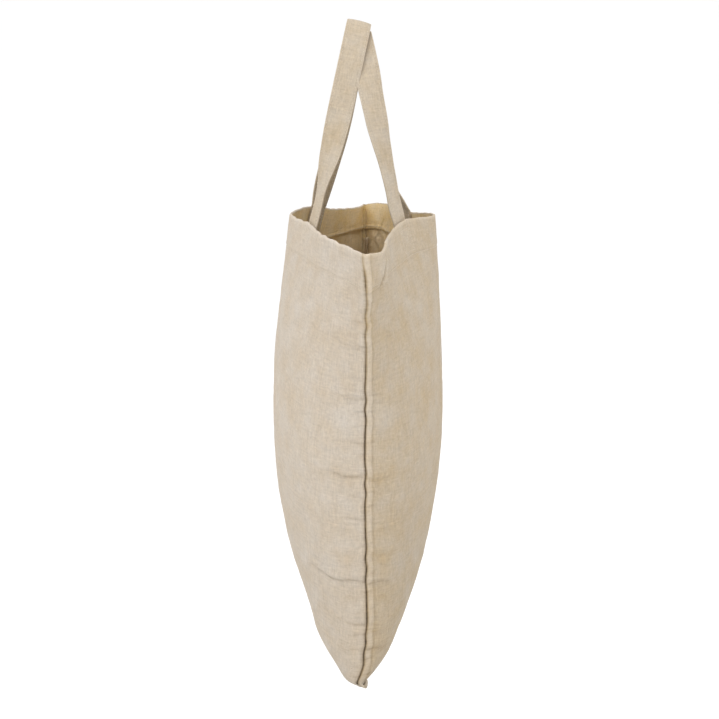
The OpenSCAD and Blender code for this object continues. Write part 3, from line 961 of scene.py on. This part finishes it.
def hem_stitches(side, cloth, material):
    """The row that holds the turned hem, outside and inside."""
    s = np.linspace(-0.985, 0.985, 700)
    q = 1 - (HEM_LINE - hem_rise(s)) / CUT_H
    lines = []
    for face, inset in ((1, -CLOTH_T / 2), (-1, 2 * FOLD_R + CLOTH_T / 2)):
        points, _, _, out = cloth.at(s, q, inset)
        lines.append((points, out * face))
    name = SIDE_NAMES[side] + "_hem_stitching"
    make_stitches(SIDE_NAMES[side] + "_hem_stitches", lines, "bag", [name], material)


def box_stitches(side, cloth, end, material):
    """A boxed cross through the strap, outside on the bag and inside on the strap."""
    lines = []
    for face, inset in ((1, -CLOTH_T / 2), (-1, END_INSET + STRAP_T / 2)):
        for (x0, y0), (x1, y1) in box_runs():
            t = np.linspace(0, 1, 24)
            x = x0 + (x1 - x0) * t
            q = 1 - (BOX_DROP + y0 + (y1 - y0) * t) / CUT_H
            points, _, _, out = cloth.at(cloth.strap_s(end, x), q, inset)
            lines.append((points, out * face))
    name = "%s_%s_box_stitch" % (SIDE_NAMES[side], END_NAMES[end])
    make_stitches(name.replace("box_stitch", "box_stitches"), lines, "bag", [name], material)


# ---------------------------------------------------------------- seams inside

ALLOWANCE_W, ALLOWANCE_T = 0.0100, 0.0012
ALLOWANCE_STEPS = 10
OVERLOCK_STEPS, OVERLOCK_PITCH = 4, 0.0024

# The side allowances start above the bottom corners, and the bottom one stops short of them.
SIDE_FROM_Q, BOTTOM_TO_S = 0.055, 0.84
SIDE_RUN, BOTTOM_RUN = (HEM_Q - SIDE_FROM_Q) * CUT_H, BOTTOM_TO_S * CUT_W


def allowance(name, cloth, place, length, material, thread):
    """A seam's trimmed edges, pressed against the back panel inside, and their overlocking."""
    widths = np.linspace(0.0004, ALLOWANCE_W, ALLOWANCE_STEPS)
    along, from_seam = np.meshgrid(np.linspace(0, 1, 150), widths, indexing="ij")
    s, q = place(along, from_seam)
    wave = 1 + np.sin(along * length / 0.009 + 2 * np.sin(along * 31))
    ripple = 0.0007 * (from_seam / ALLOWANCE_W) * wave
    points, _, _, out = cloth.at(s, q, CLOTH_T / 2 + ALLOWANCE_T / 2 + 0.0002 + ripple)
    solid, faces = sheet_solid(points, out, ALLOWANCE_T)
    coords = np.stack([from_seam, along * length], -1).reshape(-1, 2)
    coords = np.concatenate([coords, coords])
    piece = new_piece(name + "_allowance", solid, faces, "bag", [name], material, coords)
    edge, inner = (points[:, k] - out[:, k] * ALLOWANCE_T / 2 for k in (-1, -1 - OVERLOCK_STEPS))
    normal = -out[:, -1]
    run = along[:, 0] * length
    at = np.arange(0.001, length - 0.002 - OVERLOCK_PITCH, OVERLOCK_PITCH)
    half = OVERLOCK_PITCH / 2
    loops = [
        (edge, 0, inner, half),
        (edge, OVERLOCK_PITCH, inner, half),
        (inner, -half, inner, half),
    ]
    starts = np.concatenate([points_at(at + x, run, a) for a, x, _, _ in loops])
    ends = np.concatenate([points_at(at + x, run, b) for _, _, b, x in loops])
    normals = np.concatenate([unit(points_at(at, run, normal))] * len(loops))
    made, faces = threads(starts, ends, normals)
    new_piece(name + "_overlock", made, faces, "bag", None, thread)


def side_place(end):
    """Along a side seam, from above the bottom seam to the turned hem."""
    return lambda along, from_seam: (
        end * (1 - from_seam / (CUT_W / 2)),
        SIDE_FROM_Q + (HEM_Q - SIDE_FROM_Q) * along,
    )


def bottom_place(along, from_seam):
    """Along the bottom seam, from left to right."""
    return BOTTOM_TO_S * (2 * along - 1), from_seam / CUT_H


# ---------------------------------------------------------------- materials

YARN = 0.00072
SEED_COLOUR = (0.17, 0.10, 0.05, 1.0)


def fill(tree, made, sockets):
    """Sets a node's sockets, or links them to other nodes."""
    for key, value in sockets.items():
        if isinstance(value, bpy.types.NodeSocket):
            tree.links.new(value, made.inputs[key])
        else:
            made.inputs[key].default_value = value


def node(tree, kind, sockets=None, **settings):
    """A new shader node with its settings and sockets."""
    made = tree.nodes.new("ShaderNode" + kind)
    for name, value in settings.items():
        setattr(made, name, value)
    fill(tree, made, sockets or {})
    return made


def new_material(name):
    """A material with its tree and its shader."""
    material = bpy.data.materials.new(name)
    material.use_nodes = True
    return material, material.node_tree, material.node_tree.nodes["Principled BSDF"]


def math_node(tree, operation, a, b=0.0, c=0.0):
    return node(tree, "Math", {0: a, 1: b, 2: c}, operation=operation).outputs[0]


def add_up(tree, *terms):
    """The sum of several values, each centred on zero and given its share."""
    total = 0.0
    for value, middle, share in terms:
        centred = math_node(tree, "SUBTRACT", value, middle)
        total = math_node(tree, "MULTIPLY_ADD", centred, share, total)
    return total


def noise(tree, vector, scale, detail=2.0, roughness=0.5):
    sockets = {"Vector": vector, "Scale": scale, "Detail": detail, "Roughness": roughness}
    return node(tree, "TexNoise", sockets).outputs["Fac"]


def stretched(tree, vector, x, y):
    return node(tree, "VectorMath", {0: vector, 1: (x, y, 1.0)}, operation="MULTIPLY").outputs[0]


def cloth_material(name, colour, contrast=1.0):
    """Plain-woven undyed cotton: uneven yarns both ways, slubs, blotches and flecks of seed."""
    material, tree, shader = new_material(name)
    cloth = node(tree, "UVMap", uv_map="cloth").outputs[0]
    wobble = node(tree, "TexNoise", {"Vector": cloth, "Scale": 260.0, "Detail": 2.0})
    wobble = node(
        tree, "VectorMath", {0: wobble.outputs["Color"], 1: (0.5, 0.5, 0.5)}, operation="SUBTRACT"
    )
    bent = node(
        tree,
        "VectorMath",
        {0: wobble.outputs[0], 1: (0.0016, 0.0016, 0.0016), 2: cloth},
        operation="MULTIPLY_ADD",
    ).outputs[0]
    split = node(tree, "SeparateXYZ", {0: bent})
    waves = [
        math_node(tree, "SINE", math_node(tree, "MULTIPLY", split.outputs[k], 2 * math.pi / YARN))
        for k in (0, 1)
    ]
    weave = math_node(tree, "MULTIPLY", waves[0], waves[1])
    weft = noise(tree, stretched(tree, bent, 150, 900), 1.0, 3.0, 0.6)
    warp = noise(tree, stretched(tree, bent, 900, 130), 1.0, 3.0, 0.6)
    thick_weft = noise(tree, stretched(tree, bent, 60, 420), 1.0, 2.0)
    thick_warp = noise(tree, stretched(tree, bent, 420, 50), 1.0, 2.0)
    grain = noise(tree, cloth, 420.0, 3.0, 0.6)
    patch = noise(tree, cloth, 42.0, 3.0, 0.6)
    cloud = noise(tree, cloth, 11.0, 2.0)
    fuzz = noise(tree, cloth, 2600.0, 2.0)
    # Each piece's painted light and shade, with some wear, read from its points.
    wear_and_shade = node(tree, "Attribute", attribute_name="wear_and_shade").outputs["Fac"]
    tone = add_up(
        tree,
        (weave, 0.0, 0.02),
        (weft, 0.5, 0.28 * contrast),
        (warp, 0.5, 0.36 * contrast),
        (thick_weft, 0.5, 0.20 * contrast),
        (thick_warp, 0.5, 0.20 * contrast),
        (grain, 0.5, 0.26 * contrast),
        (patch, 0.5, 0.15),
        (cloud, 0.5, 0.08),
        (fuzz, 0.5, 0.10),
        (wear_and_shade, 0.0, 1.0),
    )
    value = math_node(tree, "ADD", tone, 1.0)
    # Where the painted marks darken, the colour also turns browner as painted shade; where they
    # lighten, it turns paler.
    pressed = math_node(tree, "MINIMUM", wear_and_shade, 0.0)
    warmth = add_up(
        tree, (patch, 0.5, -0.9), (cloud, 0.5, -0.5), (wear_and_shade, 0.0, -0.4), (pressed, 0.0, -0.6)
    )
    drift = math_node(tree, "SUBTRACT", grain, 0.5)
    tinted = node(
        tree,
        "HueSaturation",
        {
            "Color": (*colour, 1.0),
            "Value": value,
            "Saturation": math_node(tree, "ADD", warmth, 1.0),
            "Hue": math_node(tree, "MULTIPLY_ADD", drift, 0.02, 0.5),
        },
    ).outputs[0]
    cells = node(tree, "TexVoronoi", {"Vector": bent, "Scale": 115.0, "Randomness": 1.0})
    pick = node(tree, "SeparateXYZ", {0: cells.outputs["Color"]}).outputs[0]
    chosen = math_node(tree, "GREATER_THAN", pick, 0.965)
    close = node(
        tree,
        "MapRange",
        {
            "Value": cells.outputs["Distance"],
            "From Min": 0.035,
            "From Max": 0.075,
            "To Min": 0.7,
            "To Max": 0.0,
        },
    ).outputs[0]
    seeds = math_node(tree, "MULTIPLY", chosen, close)
    seeded = node(tree, "Mix", data_type="RGBA")
    fill(tree, seeded, {0: seeds, 6: tinted, 7: SEED_COLOUR})
    height = add_up(
        tree,
        (weave, 0.0, 0.35),
        (weft, 0.5, 1.0),
        (warp, 0.5, 1.1),
        (thick_weft, 0.5, 0.9),
        (thick_warp, 0.5, 0.9),
        (grain, 0.5, 0.9),
        (fuzz, 0.5, 0.35),
    )
    bump = node(tree, "Bump", {"Height": height, "Strength": 1.0, "Distance": 0.00030})
    fill(tree, shader, {"Base Color": seeded.outputs[2], "Normal": bump.outputs[0]})
    fill(tree, shader, {"Roughness": 0.92, "Specular IOR Level": 0.25})
    fill(tree, shader, {"Sheen Weight": 0.12, "Sheen Roughness": 0.45})
    return material


def thread_material(name, colour):
    """Twisted cotton thread."""
    material, tree, shader = new_material(name)
    place = node(tree, "TexCoord").outputs["Object"]
    ply = node(
        tree, "TexWave", {"Vector": place, "Scale": 700.0, "Distortion": 3.0, "Detail": 1.0},
        bands_direction="DIAGONAL",
    ).outputs["Fac"]
    uneven = noise(tree, place, 180.0, 2.0)
    value = math_node(tree, "ADD", add_up(tree, (ply, 0.5, 0.12), (uneven, 0.5, 0.25)), 1.0)
    tinted = node(tree, "HueSaturation", {"Color": (*colour, 1.0), "Value": value}).outputs[0]
    bump = node(tree, "Bump", {"Height": ply, "Strength": 0.6, "Distance": 0.00008})
    fill(tree, shader, {"Base Color": tinted, "Normal": bump.outputs[0]})
    fill(tree, shader, {"Roughness": 0.7, "Sheen Weight": 0.1})
    return material


# ---------------------------------------------------------------- the camera, light and floor

CAMERA_AT = (1.566, -0.0019, RIM_Z + 0.2162)
CAMERA_PITCH = 0.230
CAMERA_LENS, CAMERA_SENSOR = 77.66, 36.0
FLOOR_DROP, FLOOR_REACH = 0.30, 200.0
WORLD_LIGHT = 1.03
# Each lamp's place, size and power.
LAMPS = (
    ("key", (1.3, -1.7, 1.0), 1.2, 12.0),
    ("fill", (1.7, 1.5, 0.9), 1.6, 7.0),
    ("top", (0.1, 0.0, 1.9), 1.4, 12.0),
)


def stage_scene():
    """The camera across the bag's side seam, a pale floor, and soft light from the left."""
    scene = bpy.context.scene
    data = bpy.data.cameras.new("camera")
    data.lens, data.sensor_width = CAMERA_LENS, CAMERA_SENSOR
    data.clip_start, data.clip_end = 0.05, 1000.0
    camera = bpy.data.objects.new("camera", data)
    camera.location = CAMERA_AT
    camera.rotation_euler = (math.pi / 2 - CAMERA_PITCH, 0, math.pi / 2)
    scene.collection.objects.link(camera)
    scene.camera = camera
    reach, ground = FLOOR_REACH, CAD_BOX[0][2] - FLOOR_DROP
    mesh = bpy.data.meshes.new("floor")
    corners = [(-reach, -reach), (reach, -reach), (reach, reach), (-reach, reach)]
    mesh.from_pydata([(x, y, ground) for x, y in corners], [], [(0, 1, 2, 3)])
    floor = bpy.data.objects.new("floor", mesh)
    scene.collection.objects.link(floor)
    pale, tree, shader = new_material("pale_floor")
    fill(tree, shader, {"Base Color": (0.98, 0.98, 0.98, 1), "Roughness": 0.9})
    mesh.materials.append(pale)
    world = bpy.data.worlds.new("studio")
    world.use_nodes = True
    tree = world.node_tree
    fill(tree, tree.nodes["Background"], {"Color": (1, 1, 1, 1), "Strength": WORLD_LIGHT})
    scene.world = world
    for name, place, size, power in LAMPS:
        lamp = bpy.data.lights.new(name, "AREA")
        lamp.shape, lamp.size, lamp.energy = "DISK", size, power
        lit = bpy.data.objects.new(name, lamp)
        lit.location = place
        aim = Vector((0, 0, RIM_Z - 0.15)) - Vector(place)
        lit.rotation_euler = aim.to_track_quat("-Z", "Y").to_euler()
        scene.collection.objects.link(lit)
    scene.view_settings.view_transform = "Standard"


# ---------------------------------------------------------------- the bag

outer = {
    FRONT: cloth_material("calico", (0.558, 0.480, 0.388)),
    # The back panel's calico is a darker, warmer copy of the front's: painted shade.
    BACK: cloth_material("calico_back", (0.512, 0.422, 0.310)),
}
# A brighter, warmer copy of the calico for the inside: painted bounced light.
lining = cloth_material("lining_calico", (0.72, 0.555, 0.315))
strap_cloth = cloth_material("strap_calico", (0.522, 0.436, 0.328), 1.1)
# The seam allowance's calico is a darker, warmer copy: painted shade inside the bag.
seam_cloth_shaded = cloth_material("seam_calico_shaded", (0.56, 0.43, 0.26))
thread = thread_material("thread", (0.60, 0.53, 0.43))
# A darker, warmer copy of the thread: painted shade inside the bag.
seam_thread_shaded = thread_material("seam_thread_shaded", (0.46, 0.34, 0.20))

grids = {side: hang_mouth(side, even_grid(side)) for side in (FRONT, BACK)}
grids = settle(grids[FRONT], grids[BACK])
cloths = {side: Cloth(side, grid) for side, grid in grids.items()}

for side, cloth in cloths.items():
    make_panel(side, cloth, outer[side], lining)
    hem_stitches(side, cloth, thread)
    rows, normals, run = strap_rows(side, cloth)
    make_strap(side, rows, normals, run, strap_cloth)
    strap_stitches(side, rows, normals, thread)
    for end in (LEFT, RIGHT):
        box_stitches(side, cloth, end, thread)

seams = [(END_NAMES[end] + "_side_seam", side_place(end), SIDE_RUN) for end in (LEFT, RIGHT)]
for name, place, length in [*seams, ("bottom_seam", bottom_place, BOTTOM_RUN)]:
    allowance(name, cloths[BACK], place, length, seam_cloth_shaded, seam_thread_shaded)

stage_scene()
